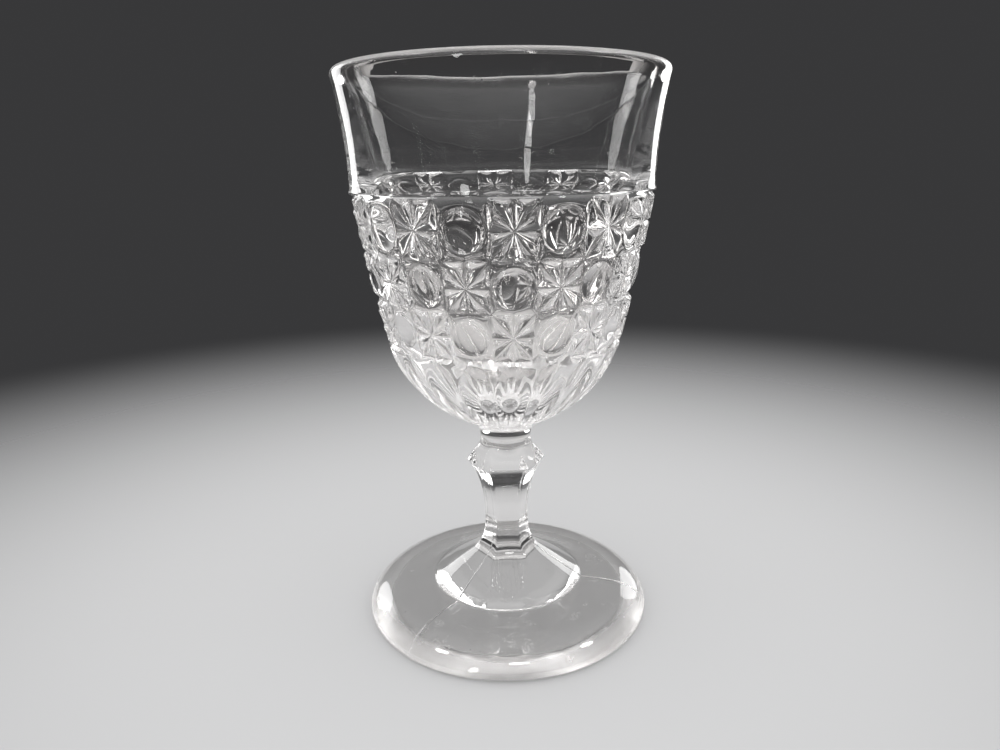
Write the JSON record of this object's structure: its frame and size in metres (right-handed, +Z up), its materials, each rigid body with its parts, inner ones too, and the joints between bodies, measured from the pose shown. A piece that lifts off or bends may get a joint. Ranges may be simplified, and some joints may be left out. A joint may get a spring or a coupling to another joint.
{
  "type": "pressed glass goblet",
  "caption": "Clear pressed glass goblet: a plain flared rim over rows of daisies and buttons, a fluted belly, a faceted stem with a sharp knop and a domed round foot.",
  "frame": {"origin": "centre of the ring that the foot stands on, at the height of the table", "axes": "+Z up along the goblet's axis, from the foot to the rim; the front, -Y, is the middle of one flat side of the stem and of one column of the pattern"},
  "size_m": [0.0858, 0.0858, 0.152],
  "materials": {
    "clear_glass": "fire-polished pressed glass with a faint warm tint, slight waves and a few small bubbles"
  },
  "bodies": {
    "root": {"foot": "clear_glass", "stem": "clear_glass", "bowl": "clear_glass"}
  },
  "joints": []
}
